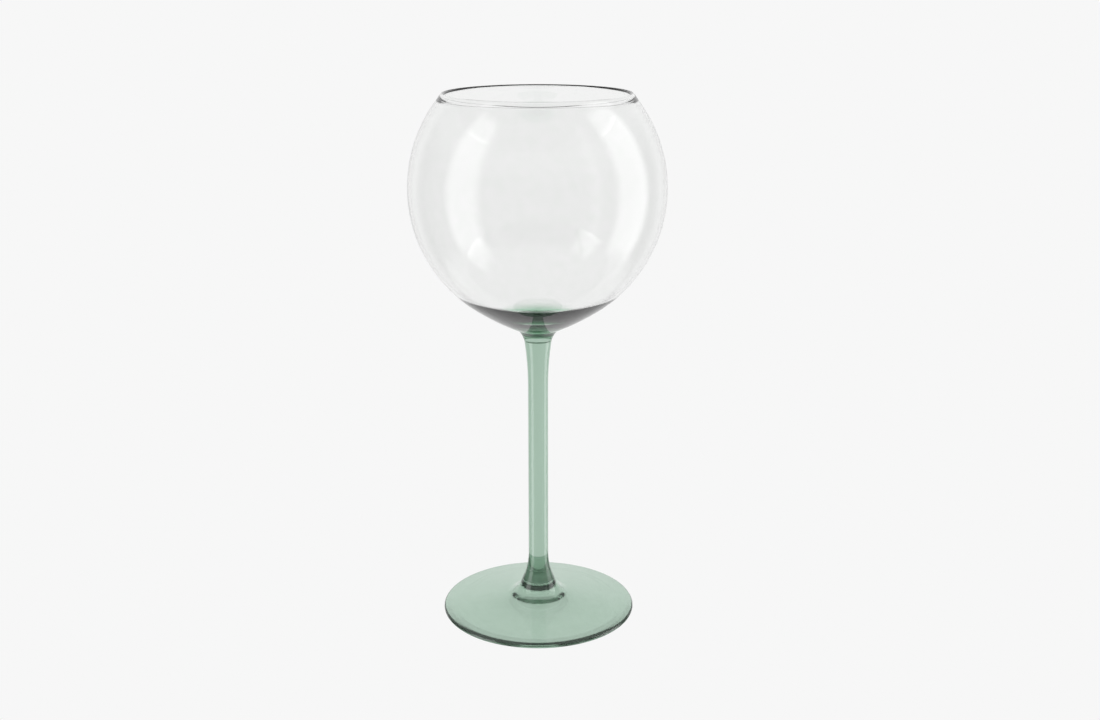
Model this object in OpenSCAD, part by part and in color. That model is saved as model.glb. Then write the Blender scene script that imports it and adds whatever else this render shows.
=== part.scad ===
// Stemmed wine glass: a clear balloon bowl fused onto a green collar, stem and foot.
// The origin is the middle of the circle that the foot rests on, and +Z is the axis.
// Every piece is turned: its outline runs in [radius, height] points and is revolved.

/* [Bowl] */
// Outer diameter at the widest part of the bowl
bowl_d = 99; // [84:1:120]
// Outer diameter of the mouth, over the rim bead
mouth_d = 73; // [60:1:80]
// Height of the rim above the widest part
bowl_upper_h = 36.5; // [28:0.5:46]
// Height of the widest part above the seat on the collar
bowl_lower_h = 55; // [46:1:68]
// Thickness of the blown wall
wall_t = 1.3; // [0.9:0.1:2]
// Diameter of the fire-polished bead on the rim
rim_bead_d = 1.7; // [1:0.1:3]
// Thickness of the solid glass in the middle of the bowl's base
base_t = 4.8; // [3.8:0.1:7]
// Tilt from level of the outside where it leaves the belly arc for the base arc
base_start_a = 35; // [30:1:42]
// Tilt from level of the outside where it meets the collar
base_end_a = 24; // [16:1:28]
// Angle round the belly, below the widest part, that keeps the thin wall
thin_wall_a = 46; // [40:1:50]
// Radius of the bend between the inner side and the inner bottom
inner_bend_r = 22; // [18:1:28]

/* [Collar] */
// Height of the collar
collar_h = 4.5; // [3:0.5:8]
// Diameter of the seam between the collar and the bowl
bowl_seam_d = 16.4; // [13:0.2:20]
// Radius of the hollow curve round the collar
collar_cove_r = 9; // [6:0.5:20]

/* [Stem] */
// Length of the stem from the foot's boss to the collar
stem_l = 101.5; // [70:0.5:140]
// Diameter of the straight middle of the stem
stem_d = 8; // [6:0.2:10]
// Diameter of the seam between the stem and the collar
collar_seam_d = 10.8; // [9:0.2:12.8]
// Length of the flare at the stem's upper end
upper_flare_l = 19; // [10:1:30]
// Diameter of the seam between the stem and the foot's boss
foot_seam_d = 13; // [11:0.2:15.6]
// Length of the flare at the stem's lower end
lower_flare_l = 11.5; // [8:0.5:20]

/* [Foot] */
// Diameter of the foot
foot_d = 78; // [64:1:96]
// Thickness of the foot's rounded edge
foot_edge_t = 1.8; // [1.4:0.1:3]
// Slope from level of the foot's upper face
foot_slope_a = 10; // [6:0.5:11]
// Height of the boss in the middle of the foot
boss_h = 12.5; // [11:0.5:14]
// Radius of the hollow curve between the boss and the upper face
boss_cove_r = 8; // [7.5:0.5:12]
// Width of the flat ring that the foot rests on
rest_ring_w = 5; // [3:0.5:8]
// Depth of the hollow under the foot
hollow_h = 2.8; // [1:0.1:3.4]

/* [Hidden] */
$fn = 128;
// Straight steps that an outline takes along one arc
arc_steps = 16;

boss_top_z = boss_h;
collar_z = boss_top_z + stem_l;
seat_z = collar_z + collar_h;
belly_z = seat_z + bowl_lower_h;
rim_z = belly_z + bowl_upper_h;

clear_glass = [0.93, 0.95, 0.95, 0.35];
green_glass = [0.70, 0.82, 0.75, 0.8];

// Points from angle a0 to angle a1 round a centre, with angle 0 pointing outwards
function arc(centre, radius, a0, a1) =
    [for (i = [0:arc_steps])
        let (a = a0 + (a1 - a0) * i / arc_steps)
        centre + radius * [cos(a), sin(a)]];

function reversed(points) = [for (i = [len(points) - 1:-1:0]) points[i]];

// Radius of an arc that starts upright and moves sideways by `across` over a height `along`
function flare_r(along, across) = (along * along + across * across) / (2 * across);

// Angle that such an arc turns through
function flare_a(along, across) = 2 * atan(across / along);

// Hollow arc between a lower and an upper point, with its centre on the outside
function cove(lower, upper, radius) =
    let (chord = upper - lower,
         half = norm(chord) / 2,
         outwards = [chord[1], -chord[0]] / norm(chord),
         centre = (lower + upper) / 2 + sqrt(radius * radius - half * half) * outwards,
         from = lower - centre,
         to = upper - centre)
    arc(centre, radius, atan2(from[1], from[0]), atan2(to[1], to[0]));

// Outside of the bowl, from its seat up to the rim
belly_r = bowl_d / 2;
seat_r = bowl_seam_d / 2;
wall_mid_r = belly_r - wall_t / 2;
rim_mid = [mouth_d / 2 - rim_bead_d / 2, rim_z - rim_bead_d / 2];
rim_rise = rim_mid[1] - belly_z;
rim_inset = wall_mid_r - rim_mid[0];
upper_mid_r = flare_r(rim_rise, rim_inset);
upper_turn = flare_a(rim_rise, rim_inset);
upper_centre = [wall_mid_r - upper_mid_r, belly_z];

// The belly arc and the base arc share a tangent, and together reach the seat
base_from_a = 90 - base_start_a;
base_to_a = 90 - base_end_a;
across_belly = 1 - cos(base_from_a);
across_base = cos(base_from_a) - cos(base_to_a);
down_belly = sin(base_from_a);
down_base = sin(base_to_a) - sin(base_from_a);
arc_det = across_belly * down_base - across_base * down_belly;
belly_arc_r = ((belly_r - seat_r) * down_base - across_base * bowl_lower_h) / arc_det;
base_arc_r = (across_belly * bowl_lower_h - (belly_r - seat_r) * down_belly) / arc_det;
belly_centre = [belly_r - belly_arc_r, belly_z];
base_centre = belly_centre
    + (belly_arc_r - base_arc_r) * [cos(base_from_a), -sin(base_from_a)];

// Inside of the bowl: thin wall, bend, and a bottom arc that is level on the axis
inner_bottom_z = seat_z + base_t;
inner_belly_r = belly_arc_r - wall_t;
bend_centre = belly_centre
    + (inner_belly_r - inner_bend_r) * [cos(thin_wall_a), -sin(thin_wall_a)];
bend_to_a = 90 - 2 * atan((bend_centre[1] - inner_bend_r - inner_bottom_z) / bend_centre[0]);
bottom_arc_r = inner_bend_r + bend_centre[0] / cos(bend_to_a);
bottom_centre = [0, inner_bottom_z + bottom_arc_r];

bowl_outside = concat(
    arc(base_centre, base_arc_r, -base_to_a, -base_from_a),
    arc(belly_centre, belly_arc_r, -base_from_a, 0),
    arc(upper_centre, upper_mid_r + wall_t / 2, 0, upper_turn));

bowl_inside = concat(
    arc(bottom_centre, bottom_arc_r, -90, -bend_to_a),
    arc(bend_centre, inner_bend_r, -bend_to_a, -thin_wall_a),
    arc(belly_centre, inner_belly_r, -thin_wall_a, 0),
    arc(upper_centre, upper_mid_r - wall_t / 2, 0, upper_turn));

// Clear blown bowl with its thick base and its rounded rim
module bowl() {
    color(clear_glass)
        rotate_extrude() {
            polygon(concat([[0, seat_z]], bowl_outside, reversed(bowl_inside)));
            translate(rim_mid)
                circle(d = rim_bead_d);
        }
}

// Green collar that joins the bowl to the stem
module collar() {
    color(green_glass)
        rotate_extrude()
            polygon(concat(
                [[0, collar_z]],
                cove([collar_seam_d / 2, collar_z], [seat_r, seat_z], collar_cove_r),
                [[0, seat_z]]));
}

// Green drawn stem, flared at both ends
module stem() {
    lower_flare = (foot_seam_d - stem_d) / 2;
    lower_r = flare_r(lower_flare_l, lower_flare);
    lower_centre = [stem_d / 2 + lower_r, boss_top_z + lower_flare_l];
    upper_flare = (collar_seam_d - stem_d) / 2;
    upper_r = flare_r(upper_flare_l, upper_flare);
    upper_flare_centre = [stem_d / 2 + upper_r, collar_z - upper_flare_l];
    color(green_glass)
        rotate_extrude()
            polygon(concat(
                [[0, boss_top_z]],
                arc(lower_centre, lower_r, 180 + flare_a(lower_flare_l, lower_flare), 180),
                arc(upper_flare_centre, upper_r, 180, 180 - flare_a(upper_flare_l, upper_flare)),
                [[0, collar_z]]));
}

// Green foot: a thin sloping disc with a boss, resting on a flat ring round a shallow hollow
module foot() {
    edge_r = foot_edge_t / 2;
    edge_centre = [foot_d / 2 - edge_r, edge_r];
    ring_inner_r = edge_centre[0] - rest_ring_w;
    hollow_r = flare_r(ring_inner_r, hollow_h);
    hollow_turn = flare_a(ring_inner_r, hollow_h);
    downhill = [cos(foot_slope_a), -sin(foot_slope_a)];
    uphill_normal = [sin(foot_slope_a), cos(foot_slope_a)];
    boss_edge = [foot_seam_d / 2, boss_top_z];
    // Centre of the cove: one radius above the sloping face and one radius from the boss's edge
    above_edge = edge_centre + (edge_r + boss_cove_r) * uphill_normal - boss_edge;
    inwards = above_edge * downhill
        - sqrt(pow(boss_cove_r, 2) - pow(above_edge * uphill_normal, 2));
    cove_centre = boss_edge + above_edge - inwards * downhill;
    from_boss = boss_edge - cove_centre;
    boss_a = atan2(from_boss[1], from_boss[0]);
    to_boss_a = boss_a > 0 ? boss_a - 360 : boss_a;
    color(green_glass)
        rotate_extrude()
            polygon(concat(
                arc([0, hollow_h - hollow_r], hollow_r, 90, 90 - hollow_turn),
                arc(edge_centre, edge_r, -90, 90 - foot_slope_a),
                arc(cove_centre, boss_cove_r, -90 - foot_slope_a, to_boss_a),
                [[0, boss_top_z]]));
}

bowl();
collar();
stem();
foot();
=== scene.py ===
"""Wine glass: a clear balloon bowl on a pale green collar, stem and foot, in a pale studio."""

import math

import bmesh
import bpy
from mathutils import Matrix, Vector


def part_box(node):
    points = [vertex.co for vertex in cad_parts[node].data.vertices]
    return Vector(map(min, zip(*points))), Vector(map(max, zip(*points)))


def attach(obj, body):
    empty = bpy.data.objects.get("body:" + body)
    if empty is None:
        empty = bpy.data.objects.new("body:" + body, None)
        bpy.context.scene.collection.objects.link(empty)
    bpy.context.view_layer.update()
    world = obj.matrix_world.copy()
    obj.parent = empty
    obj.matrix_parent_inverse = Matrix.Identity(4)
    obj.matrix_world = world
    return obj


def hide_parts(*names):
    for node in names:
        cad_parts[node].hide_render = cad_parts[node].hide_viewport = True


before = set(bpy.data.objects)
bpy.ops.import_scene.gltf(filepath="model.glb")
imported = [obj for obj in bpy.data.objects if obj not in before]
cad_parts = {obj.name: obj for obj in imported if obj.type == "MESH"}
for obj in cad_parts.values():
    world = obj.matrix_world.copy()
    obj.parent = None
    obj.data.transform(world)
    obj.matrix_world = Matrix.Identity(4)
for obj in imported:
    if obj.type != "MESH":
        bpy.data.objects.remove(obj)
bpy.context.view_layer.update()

MM = 0.001


# ---------------------------------------------------------------- small helpers

def linear(hex_colour):
    """An sRGB hex colour as linear red, green, blue and a full alpha."""
    parts = [int(hex_colour[i:i + 2], 16) / 255 for i in (1, 3, 5)]
    return [c / 12.92 if c <= 0.04045 else ((c + 0.055) / 1.055) ** 2.4 for c in parts] + [1.0]


def add_node(tree, kind, links=(), **settings):
    """Adds a node. A setting named for a property sets it; any other one sets the input socket
    of that name or number. Each link is (socket it comes from, input it goes to)."""
    node = tree.nodes.new(kind)
    for name, value in settings.items():
        if hasattr(node, name):
            setattr(node, name, value)
        else:
            key = int(name[1:]) if name[1:].isdigit() else name.replace("_", " ")
            node.inputs[key].default_value = value
    for source, target in links:
        tree.links.new(source, node.inputs[target])
    return node


# ---------------------------------------------------------------- sizes of the glass, in metres

foot_low, foot_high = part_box("foot")
stem_low, stem_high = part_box("stem")
collar_low, collar_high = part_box("collar")
bowl_low, bowl_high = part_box("bowl")

BOSS_TOP = foot_high.z
STEM_TOP = stem_high.z
SEAT = collar_high.z
RIM = bowl_high.z

FOOT_RADIUS = 39 * MM
FOOT_EDGE = 1.8 * MM
FOOT_SLOPE = math.radians(10)
REST_RING = 5 * MM
HOLLOW_DEPTH = 2.8 * MM
BOSS_COVE = 8 * MM

STEM_RADIUS = 4 * MM
FOOT_SEAM_RADIUS = 6.5 * MM
COLLAR_SEAM_RADIUS = 5.4 * MM
BOWL_SEAM_RADIUS = 8.2 * MM
LOWER_FLARE = 11.5 * MM
UPPER_FLARE = 19 * MM
COLLAR_COVE = 9 * MM

BOWL_RADIUS = 49.5 * MM
MOUTH_RADIUS = 36.5 * MM
BOWL_LOWER = 55 * MM
WALL = 1.3 * MM
RIM_BEAD = 1.7 * MM
BEAD_BLEND = 3 * MM
BASE_THICKNESS = 4.8 * MM
BASE_START = math.radians(90 - 35)
BASE_END = math.radians(90 - 24)
THIN_WALL = math.radians(46)
INNER_BEND = 22 * MM

# Points of an outline that lie closer than this are one point
SAME_POINT = 0.001 * MM
# Gap between two fused faces, too thin to see
SEAM_GAP = 0.004 * MM

# Straight steps round the axis, and along each stretch of an outline
ROUND_STEPS = 288
BASE_STEPS = 24
BELLY_STEPS = 60
INNER_BELLY_STEPS = 40
UPPER_STEPS = 60
EDGE_STEPS = 14
COVE_STEPS = 16
UPPER_FLARE_STEPS = 16
LOWER_FLARE_STEPS = 20
BOSS_STEPS = 24
SLOPE_STEPS = 60
HOLLOW_STEPS = 48
SEAM_STEPS = 6


# ---------------------------------------------------------------- outlines, as (radius, height) points

def arc(centre, radius, start, end, steps):
    """Points round a centre; angle 0 points outwards and angles grow upwards."""
    turns = [start + (end - start) * i / steps for i in range(steps + 1)]
    return [(centre[0] + radius * math.cos(a), centre[1] + radius * math.sin(a)) for a in turns]


def flare(along, across):
    """Radius and turn of an arc that starts upright and moves sideways over a height."""
    return (along ** 2 + across ** 2) / (2 * across), 2 * math.atan(across / along)


def disc(height, radius, outwards=True):
    """Points across the flat round face of a seam."""
    points = [(radius * i / SEAM_STEPS, height) for i in range(SEAM_STEPS + 1)]
    return points if outwards else points[::-1]


def joined(*runs):
    """Runs of points as one outline, with a point that two runs share kept once."""
    points = []
    for run in runs:
        for p in run:
            if not points or math.dist(points[-1], p) > SAME_POINT:
                points.append(p)
    return points


def bowl_outline():
    """The blown bowl: its seat, outside, rim bead and inside."""
    belly = SEAT + BOWL_LOWER
    mid = BOWL_RADIUS - WALL / 2
    rim_mid = (MOUTH_RADIUS - RIM_BEAD / 2, RIM - RIM_BEAD / 2)
    upper_radius, upper_turn = flare(rim_mid[1] - belly, mid - rim_mid[0])
    upper_centre = (mid - upper_radius, belly)

    # The belly arc and the base arc share a tangent and together reach the seat
    a, b = 1 - math.cos(BASE_START), math.cos(BASE_START) - math.cos(BASE_END)
    c, d = math.sin(BASE_START), math.sin(BASE_END) - math.sin(BASE_START)
    across = BOWL_RADIUS - BOWL_SEAM_RADIUS
    belly_radius = (across * d - b * BOWL_LOWER) / (a * d - b * c)
    base_radius = (a * BOWL_LOWER - across * c) / (a * d - b * c)
    belly_centre = (BOWL_RADIUS - belly_radius, belly)
    step_in = belly_radius - base_radius
    base_centre = (belly_centre[0] + step_in * math.cos(BASE_START),
                   belly_centre[1] - step_in * math.sin(BASE_START))

    inner_bottom = SEAT + BASE_THICKNESS
    inner_radius = belly_radius - WALL
    step_in = inner_radius - INNER_BEND
    bend_centre = (belly_centre[0] + step_in * math.cos(THIN_WALL),
                   belly_centre[1] - step_in * math.sin(THIN_WALL))
    rise = (bend_centre[1] - INNER_BEND - inner_bottom) / bend_centre[0]
    bend_end = math.pi / 2 - 2 * math.atan(rise)
    bottom_radius = INNER_BEND + bend_centre[0] / math.cos(bend_end)

    def upper_wall(side):
        """The upper wall on one side of its middle, thickening into the bead at the rim."""
        points = []
        for i in range(UPPER_STEPS + 1):
            turn = upper_turn * i / UPPER_STEPS
            near_rim = max(0.0, 1 - (upper_turn - turn) * upper_radius / BEAD_BLEND)
            swell = near_rim * near_rim * (3 - 2 * near_rim)
            radius = upper_radius + side * (WALL + (RIM_BEAD - WALL) * swell) / 2
            points.append((upper_centre[0] + radius * math.cos(turn),
                           upper_centre[1] + radius * math.sin(turn)))
        return points

    return joined(
        disc(SEAT + SEAM_GAP, BOWL_SEAM_RADIUS),
        arc(base_centre, base_radius, -BASE_END, -BASE_START, BASE_STEPS),
        arc(belly_centre, belly_radius, -BASE_START, 0, BELLY_STEPS),
        upper_wall(1),
        arc(rim_mid, RIM_BEAD / 2, upper_turn, upper_turn + math.pi, EDGE_STEPS),
        upper_wall(-1)[::-1],
        arc(belly_centre, inner_radius, 0, -THIN_WALL, INNER_BELLY_STEPS),
        arc(bend_centre, INNER_BEND, -THIN_WALL, -bend_end, BASE_STEPS),
        arc((0, inner_bottom + bottom_radius), bottom_radius, -bend_end, -math.pi / 2, BASE_STEPS))


def cove(lower, upper, radius):
    """Hollow arc from a lower to an upper point, with its centre on the outside."""
    chord = math.dist(lower, upper)
    out = ((upper[1] - lower[1]) / chord, -(upper[0] - lower[0]) / chord)
    reach = math.sqrt(radius ** 2 - (chord / 2) ** 2)
    centre = ((lower[0] + upper[0]) / 2 + reach * out[0], (lower[1] + upper[1]) / 2 + reach * out[1])
    angles = [math.atan2(p[1] - centre[1], p[0] - centre[0]) for p in (lower, upper)]
    return arc(centre, radius, angles[0], angles[1], COVE_STEPS)


def collar_outline():
    """The collar: a hollow curve that widens from the stem to the bowl."""
    return joined(
        disc(STEM_TOP + SEAM_GAP, COLLAR_SEAM_RADIUS),
        cove((COLLAR_SEAM_RADIUS, STEM_TOP), (BOWL_SEAM_RADIUS, SEAT), COLLAR_COVE),
        disc(SEAT - SEAM_GAP, BOWL_SEAM_RADIUS, outwards=False))


def stem_outline():
    """The drawn stem, flared at both ends."""
    lower_radius, lower_turn = flare(LOWER_FLARE, FOOT_SEAM_RADIUS - STEM_RADIUS)
    upper_radius, upper_turn = flare(UPPER_FLARE, COLLAR_SEAM_RADIUS - STEM_RADIUS)
    return joined(
        disc(BOSS_TOP + SEAM_GAP, FOOT_SEAM_RADIUS),
        arc((STEM_RADIUS + lower_radius, BOSS_TOP + LOWER_FLARE), lower_radius,
            math.pi + lower_turn, math.pi, LOWER_FLARE_STEPS),
        arc((STEM_RADIUS + upper_radius, STEM_TOP - UPPER_FLARE), upper_radius,
            math.pi, math.pi - upper_turn, UPPER_FLARE_STEPS),
        disc(STEM_TOP - SEAM_GAP, COLLAR_SEAM_RADIUS, outwards=False))


def foot_outline():
    """The spun foot: its hollow, resting ring, edge, slope and boss."""
    edge = FOOT_EDGE / 2
    edge_centre = (FOOT_RADIUS - edge, edge)
    ring_inner = edge_centre[0] - REST_RING
    hollow_radius, hollow_turn = flare(ring_inner, HOLLOW_DEPTH)
    downhill = Vector((math.cos(FOOT_SLOPE), -math.sin(FOOT_SLOPE)))
    normal = Vector((math.sin(FOOT_SLOPE), math.cos(FOOT_SLOPE)))
    boss_edge = Vector((FOOT_SEAM_RADIUS, BOSS_TOP))
    # The cove's centre is one radius above the slope and one radius from the boss's edge
    above_edge = Vector(edge_centre) + (edge + BOSS_COVE) * normal - boss_edge
    inwards = above_edge.dot(downhill) - math.sqrt(BOSS_COVE ** 2 - above_edge.dot(normal) ** 2)
    cove_centre = boss_edge + above_edge - inwards * downhill
    from_boss = boss_edge - cove_centre
    boss_angle = math.atan2(from_boss.y, from_boss.x)
    if boss_angle > 0:
        boss_angle -= 2 * math.pi
    top_inner = cove_centre - BOSS_COVE * normal
    top_outer = Vector(edge_centre) + edge * normal
    slope = [tuple(top_outer.lerp(top_inner, i / SLOPE_STEPS)) for i in range(SLOPE_STEPS + 1)]
    return joined(
        arc((0, HOLLOW_DEPTH - hollow_radius), hollow_radius,
            math.pi / 2, math.pi / 2 - hollow_turn, HOLLOW_STEPS),
        arc(edge_centre, edge, -math.pi / 2, math.pi / 2 - FOOT_SLOPE, EDGE_STEPS),
        slope,
        arc(cove_centre, BOSS_COVE, -math.pi / 2 - FOOT_SLOPE, boss_angle, BOSS_STEPS),
        disc(BOSS_TOP - SEAM_GAP, FOOT_SEAM_RADIUS, outwards=False))


# ---------------------------------------------------------------- the lathe

MERGE_DISTANCE = 0.0005 * MM
SHARP_ANGLE = math.radians(30)


def lathe_tree():
    """Geometry Nodes tree that turns a chain of outline points round the Z axis."""
    tree = bpy.data.node_groups.new("turn outline round the axis", "GeometryNodeTree")
    face = tree.interface
    face.new_socket("Outline", in_out="INPUT", socket_type="NodeSocketGeometry")
    for name, kind, value in (("Points", "NodeSocketInt", 2), ("Steps round", "NodeSocketInt", 96),
                              ("Merge distance", "NodeSocketFloat", MERGE_DISTANCE),
                              ("Sharp angle", "NodeSocketFloat", SHARP_ANGLE)):
        face.new_socket(name, in_out="INPUT", socket_type=kind).default_value = value
    face.new_socket("Glass", in_out="INPUT", socket_type="NodeSocketMaterial")
    face.new_socket("Turned", in_out="OUTPUT", socket_type="NodeSocketGeometry")
    made = {}

    def node(name, kind, links=(), **settings):
        made[name] = add_node(tree, kind, links, **settings)
        return made[name].outputs

    given = node("given", "NodeGroupInput")
    rings = node("rings", "ShaderNodeMath", [(given["Steps round"], 0)], operation="ADD", _1=1.0)
    grid = node("grid", "GeometryNodeMeshGrid",
                [(rings[0], "Vertices X"), (given["Points"], "Vertices Y")])
    index = node("index", "GeometryNodeInputIndex")
    along = node("along", "ShaderNodeMath", [(index[0], 0), (given["Points"], 1)], operation="MODULO")
    share = node("share", "ShaderNodeMath", [(index[0], 0), (given["Points"], 1)], operation="DIVIDE")
    ring = node("ring", "ShaderNodeMath", [(share[0], 0)], operation="FLOOR")
    part = node("part", "ShaderNodeMath", [(ring[0], 0), (given["Steps round"], 1)], operation="DIVIDE")
    angle = node("angle", "ShaderNodeMath", [(part[0], 0)], operation="MULTIPLY", _1=2 * math.pi)
    place = node("place", "GeometryNodeInputPosition")
    point = node("point", "GeometryNodeSampleIndex",
                 [(given["Outline"], "Geometry"), (place[0], "Value"), (along[0], "Index")],
                 data_type="FLOAT_VECTOR", domain="POINT")
    turned = node("turned", "ShaderNodeVectorRotate", [(point[0], "Vector"), (angle[0], "Angle")],
                  rotation_type="Z_AXIS")
    placed = node("placed", "GeometryNodeSetPosition",
                  [(grid["Mesh"], "Geometry"), (turned[0], "Position")])
    closed = node("closed", "GeometryNodeMergeByDistance",
                  [(placed[0], "Geometry"), (given["Merge distance"], "Distance")])
    bend = node("bend", "GeometryNodeInputMeshEdgeAngle")
    soft = node("soft", "FunctionNodeCompare", [(bend["Unsigned Angle"], 0), (given["Sharp angle"], 1)],
                data_type="FLOAT", operation="LESS_THAN")
    faces = node("faces", "GeometryNodeSetShadeSmooth", [(closed[0], "Geometry")], domain="FACE")
    edges = node("edges", "GeometryNodeSetShadeSmooth",
                 [(faces[0], "Geometry"), (soft[0], "Shade Smooth")], domain="EDGE")
    real = node("real", "GeometryNodeRealizeInstances", [(edges[0], "Geometry")])
    glass = node("glass", "GeometryNodeSetMaterial",
                 [(real[0], "Geometry"), (given["Glass"], "Material")])
    add_node(tree, "NodeGroupOutput", [(glass[0], "Turned")])
    return tree


def turn_on_lathe(tree, name, outline, glass, seams=()):
    """Turns an outline into a mesh piece, and marks its fused faces. Each seam is (height, radius)."""
    chain = bpy.data.meshes.new(name + " outline")
    links = [(i, i + 1) for i in range(len(outline) - 1)]
    chain.from_pydata([(r, 0, z) for r, z in outline], links, [])
    blank = bpy.data.objects.new(name + " blank", chain)
    bpy.context.scene.collection.objects.link(blank)
    lathe = blank.modifiers.new("lathe", "NODES")
    lathe.node_group = tree
    values = {"Points": len(outline), "Steps round": ROUND_STEPS, "Glass": glass,
              "Merge distance": MERGE_DISTANCE, "Sharp angle": SHARP_ANGLE}
    for item in tree.interface.items_tree:
        if item.in_out == "INPUT" and item.name in values:
            lathe[item.identifier] = values[item.name]
    shape = bpy.data.meshes.new_from_object(blank.evaluated_get(bpy.context.evaluated_depsgraph_get()))
    bpy.data.objects.remove(blank)
    bpy.data.meshes.remove(chain)

    work = bmesh.new()
    work.from_mesh(shape)
    bmesh.ops.recalc_face_normals(work, faces=work.faces)
    if work.calc_volume(signed=True) < 0:
        bmesh.ops.reverse_faces(work, faces=work.faces)
    fused = work.faces.layers.float.new("fused")
    for face in work.faces:
        middle = face.calc_center_median()
        face[fused] = float(any(abs(middle.z - height) < SEAM_GAP / 4 and middle.xy.length < radius
                                for height, radius in seams))
    work.to_mesh(shape)
    work.free()
    shape.name = name
    piece = bpy.data.objects.new(name, shape)
    bpy.context.scene.collection.objects.link(piece)
    return piece


# ---------------------------------------------------------------- glass

def glass_material(name, tint, depth_colour, depth_density, clearness, seam_clearness,
                   painted_refraction_heights, painted_refraction_colour, waviness, rings):
    """Fire-polished soda-lime glass.

    Its body colour is light lost with depth, plus a tint at each surface. Where two pieces are
    fused it has no optical surface. It is never quite even: `waviness` is the (size, stretch along
    the axis, depth) of the soft waves that hand work leaves, and `rings` the depth of the ripples that
    spinning leaves in a foot. `painted_refraction_heights` are the heights between which a painted
    refraction fades out: green painted into the glass, standing in for the green collar as it shows
    through the bowl's base."""
    material = bpy.data.materials.new(name)
    material.use_nodes = True
    tree = material.node_tree
    tree.nodes.clear()
    place = add_node(tree, "ShaderNodeTexCoord").outputs["Object"]
    axes = add_node(tree, "ShaderNodeSeparateXYZ", [(place, 0)]).outputs

    # Colour: streaks of slightly stronger tint, and a painted refraction: green painted low in the bowl
    # for the green collar seen through its base
    size, stretch, wave_depth = waviness
    streak_place = add_node(tree, "ShaderNodeMapping", [(place, "Vector")],
                            Scale=(1.0, 1.0, 1 / stretch))
    streaks = add_node(tree, "ShaderNodeTexNoise", [(streak_place.outputs[0], "Vector")],
                       Scale=1 / STREAK_SIZE, Detail=2.0, Roughness=0.5)
    streak = add_node(tree, "ShaderNodeMapRange", [(streaks.outputs[0], "Value")],
                      From_Min=0.3, From_Max=0.7, To_Min=0.0, To_Max=1.0)
    even = add_node(tree, "ShaderNodeMix", [(streak.outputs[0], 0)], data_type="RGBA",
                    _6=linear(tint[0]), _7=linear(tint[1]))
    # Painted refraction: full green below the lower given height, fading out by the upper one, for the
    # collar seen through the base
    painted_refraction_fade = add_node(tree, "ShaderNodeMapRange", [(axes["Z"], "Value")],
                    interpolation_type="SMOOTHSTEP", From_Min=painted_refraction_heights[0], From_Max=painted_refraction_heights[1],
                    To_Min=1.0, To_Max=0.0)
    # Mixes the painted refraction's green into the glass colour
    colour = add_node(tree, "ShaderNodeMix", [(painted_refraction_fade.outputs[0], 0), (even.outputs[2], 6)],
                      data_type="RGBA", _7=linear(painted_refraction_colour))

    # Surface: soft waves, and the foot's ripples round the axis
    waves = add_node(tree, "ShaderNodeTexNoise", [(streak_place.outputs[0], "Vector")],
                     Scale=1 / size, Detail=1.0, Roughness=0.4)
    waved = add_node(tree, "ShaderNodeBump", [(waves.outputs[0], "Height")],
                     Strength=1.0, Distance=wave_depth)
    level = add_node(tree, "ShaderNodeCombineXYZ", [(axes["X"], 0), (axes["Y"], 1)])
    radius = add_node(tree, "ShaderNodeVectorMath", [(level.outputs[0], 0)], operation="LENGTH")
    turns = add_node(tree, "ShaderNodeMath", [(radius.outputs["Value"], 0)], operation="MULTIPLY",
                     _1=2 * math.pi / RING_SPACING)
    ripple = add_node(tree, "ShaderNodeMath", [(turns.outputs[0], 0)], operation="SINE")
    outer = add_node(tree, "ShaderNodeMapRange", [(radius.outputs["Value"], "Value")],
                     interpolation_type="SMOOTHSTEP", From_Min=0.5 * FOOT_RADIUS,
                     From_Max=0.8 * FOOT_RADIUS, To_Min=0.0, To_Max=1.0)
    rippled = add_node(tree, "ShaderNodeMath", [(ripple.outputs[0], 0), (outer.outputs[0], 1)],
                       operation="MULTIPLY")
    surface_way = add_node(tree, "ShaderNodeBump",
                           [(rippled.outputs[0], "Height"), (waved.outputs[0], "Normal")],
                           Strength=1.0, Distance=rings)

    fused = add_node(tree, "ShaderNodeAttribute", attribute_name="fused")
    index = add_node(tree, "ShaderNodeMapRange", [(fused.outputs["Fac"], "Value")],
                     To_Min=GLASS_INDEX, To_Max=NO_SURFACE_INDEX)
    clear = add_node(tree, "ShaderNodeMapRange", [(fused.outputs["Fac"], "Value")],
                     To_Min=clearness, To_Max=seam_clearness)
    surface = add_node(tree, "ShaderNodeBsdfPrincipled",
                       [(colour.outputs[2], "Base Color"), (index.outputs[0], "IOR"),
                        (clear.outputs[0], "Transmission Weight"),
                        (surface_way.outputs[0], "Normal")], Roughness=0.0)
    depth = add_node(tree, "ShaderNodeVolumeAbsorption", Color=linear(depth_colour),
                     Density=depth_density)
    add_node(tree, "ShaderNodeOutputMaterial",
             [(surface.outputs[0], "Surface"), (depth.outputs[0], "Volume")])
    return material


GLASS_INDEX = 1.5
NO_SURFACE_INDEX = 1.0
STREAK_SIZE = 4 * MM
RING_SPACING = 2.6 * MM
# Heights below the table, so that no part of a green piece takes the bowl's painted refraction of the
# collar
NO_PAINTED_REFRACTION = (-1.0, -0.9)

# Blown soda-lime glass: colourless, so the eye gets its dark and bright edges and the faint lean of
# whatever stands behind it, with a painted refraction: green painted into the foot of the bowl for
# the green collar as it shows through the base
clear_glass = glass_material("blown soda-lime glass", ("#FBFBFB", "#F9FAF9"), "#F2F4F4", 2.0,
                             # Heights and colour of the painted refraction: green painted into the
                             # bowl's base for the collar seen through it
                             1.0, 1.0, (SEAT + 1.5 * MM, SEAT + 5.0 * MM), "#5FA377",
                             (30 * MM, 1.0, 0.04 * MM), 0.0)
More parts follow.
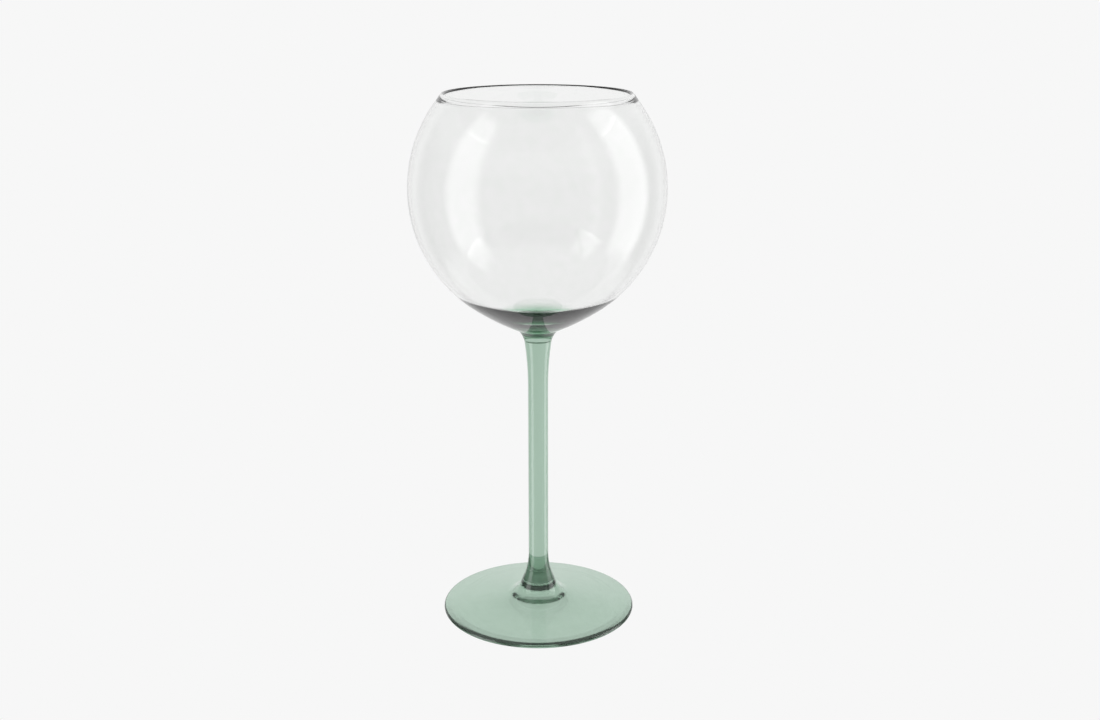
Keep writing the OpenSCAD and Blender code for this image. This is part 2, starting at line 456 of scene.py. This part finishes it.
# Drawn stem and collar: iron-green soda-lime glass, with fine streaks that were pulled out long
drawn_glass = glass_material("drawn green glass", ("#BBD2C3", "#B4CCBC"), "#A8C8B4", 20.0,
                             0.95, 0.5, NO_PAINTED_REFRACTION, "#B9D0C1",
                             (6 * MM, 12.0, 0.008 * MM), 0.0)
# Spun foot: the same green gather, opened out flat on the turning iron, with faint ripples round it
spun_glass = glass_material("spun green glass", ("#BBD2C3", "#B6CEBE"), "#A8C8B4", 20.0,
                            0.95, 0.5, NO_PAINTED_REFRACTION, "#B9D0C1",
                            (14 * MM, 1.0, 0.01 * MM), 0.006 * MM)

lathe = lathe_tree()
pieces = {
    "bowl": turn_on_lathe(lathe, "blown_bowl", bowl_outline(), clear_glass,
                          [(SEAT + SEAM_GAP, BOWL_SEAM_RADIUS)]),
    "collar": turn_on_lathe(lathe, "green_collar", collar_outline(), drawn_glass,
                            [(STEM_TOP + SEAM_GAP, COLLAR_SEAM_RADIUS),
                             (SEAT - SEAM_GAP, BOWL_SEAM_RADIUS)]),
    "stem": turn_on_lathe(lathe, "drawn_stem", stem_outline(), drawn_glass,
                          [(BOSS_TOP + SEAM_GAP, FOOT_SEAM_RADIUS),
                           (STEM_TOP - SEAM_GAP, COLLAR_SEAM_RADIUS)]),
    "foot": turn_on_lathe(lathe, "spun_foot", foot_outline(), spun_glass,
                          [(BOSS_TOP - SEAM_GAP, FOOT_SEAM_RADIUS)]),
}
for node_name, piece in pieces.items():
    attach(piece, "root")
    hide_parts(node_name)


# ---------------------------------------------------------------- studio

def shining(name, colour):
    """Cloth lit so evenly that it looks the same from everywhere."""
    cloth = bpy.data.materials.new(name)
    cloth.use_nodes = True
    tree = cloth.node_tree
    tree.nodes.clear()
    glow = add_node(tree, "ShaderNodeEmission", Color=linear(colour), Strength=1.0)
    add_node(tree, "ShaderNodeOutputMaterial", [(glow.outputs[0], "Surface")])
    return cloth


def light_tent():
    """A pale floor that runs out to a low round wall. It is what stands behind the glass, and it
    isn't what the glass mirrors: mirrored rays pass it and see the room outside."""
    outline = [(TENT_RADIUS * i / FLOOR_RINGS, FLOOR) for i in range(FLOOR_RINGS + 1)]
    outline += [(TENT_RADIUS, FLOOR + TENT_WALL * i / WALL_RINGS) for i in range(1, WALL_RINGS + 1)]
    tent = turn_on_lathe(lathe, "light_tent", outline, shining("white tent cloth", "#F7F7F7"))
    tent.visible_glossy = False


def room(sky):
    """The room outside the tent: a lit table behind and below the glass, and a dim rest with a
    tall soft light on either side of the camera."""
    def step(value, start, end, low, high):
        return add_node(sky, "ShaderNodeMapRange", [(value, "Value")],
                        interpolation_type="SMOOTHSTEP", From_Min=start, From_Max=end,
                        To_Min=low, To_Max=high).outputs[0]

    def math_node(operation, *values):
        node = add_node(sky, "ShaderNodeMath", operation=operation)
        for socket, value in zip(node.inputs, values):
            if isinstance(value, float):
                socket.default_value = value
            else:
                sky.links.new(value, socket)
        return node.outputs[0]

    way = add_node(sky, "ShaderNodeTexCoord").outputs["Generated"]
    axes = add_node(sky, "ShaderNodeSeparateXYZ", [(way, 0)]).outputs
    below = step(axes["Z"], *TABLE_BELOW, 1.0, 0.0)
    behind = math_node("MULTIPLY", step(axes["Y"], *TABLE_BEHIND, 0.0, 1.0),
                       step(axes["Z"], *TABLE_TOP, 1.0, 0.0))
    table = math_node("MAXIMUM", below, behind)
    side = math_node("ARCTAN2", axes["X"], math_node("MULTIPLY", axes["Y"], -1.0))
    lights = 0.0
    for middle, half_width, strength in SOFT_LIGHTS:
        off = math_node("ABSOLUTE", math_node("SUBTRACT", side, math.radians(middle)))
        strip = step(off, math.radians(half_width - SOFT_EDGE), math.radians(half_width + SOFT_EDGE),
                     strength, 0.0)
        lights = math_node("ADD", lights, strip)
    lights = math_node("MULTIPLY", lights, step(axes["Z"], *LIGHTS_DIM, 1.0, 0.5))
    lights = math_node("MULTIPLY", lights, step(axes["Z"], *LIGHTS_END, 1.0, 0.0))
    rest = math_node("ADD", lights, step(axes["Z"], *CEILING, *ROOM_LIGHT))
    level = math_node("ADD", math_node("MULTIPLY", table, TABLE_LIGHT),
                      math_node("MULTIPLY", math_node("SUBTRACT", 1.0, table), rest))
    glow = add_node(sky, "ShaderNodeBackground", [(level, "Strength")], Color=linear("#FFFFFF"))
    add_node(sky, "ShaderNodeOutputWorld", [(glow.outputs[0], "Surface")])


TENT_RADIUS = 3.0
TENT_WALL = 2.3
FLOOR_RINGS = 8
WALL_RINGS = 4
FLOOR = -0.0002
# Levels of light, and the heights (Z) and depths (Y) of a mirrored ray between which they change
ROOM_LIGHT = (0.1, 0.6)
CEILING = (0.1, 0.5)
TABLE_LIGHT = 0.93
TABLE_BELOW = (-0.7, -0.5)
TABLE_BEHIND = (0.45, 0.75)
TABLE_TOP = (0.35, 0.6)
# Each soft light is (degrees round from the camera, half its width in degrees, brightness)
SOFT_LIGHTS = [(-69, 16, 2.5), (92, 18, 2.5), (52, 5, 0.6)]
SOFT_EDGE = 6
LIGHTS_DIM = (0.55, 0.65)
LIGHTS_END = (0.72, 0.84)

scene = bpy.context.scene
scene.view_settings.view_transform = "Standard"
scene.world = bpy.data.worlds.new("room")
scene.world.use_nodes = True
scene.world.node_tree.nodes.clear()
room(scene.world.node_tree)
light_tent()

CAMERA_BACK = 2.509 * RIM
CAMERA_HEIGHT = 1.231 * RIM
CAMERA_PITCH = math.radians(16.16)
CAMERA_YAW = math.radians(0.5155)
CAMERA_LENS = 45.47
camera_data = bpy.data.cameras.new("camera")
camera_data.sensor_width = 36
camera_data.lens = CAMERA_LENS
camera = bpy.data.objects.new("camera", camera_data)
scene.collection.objects.link(camera)
camera.location = (0, -CAMERA_BACK, CAMERA_HEIGHT)
camera.rotation_euler = (math.pi / 2 - CAMERA_PITCH, 0, -CAMERA_YAW)
scene.camera = camera
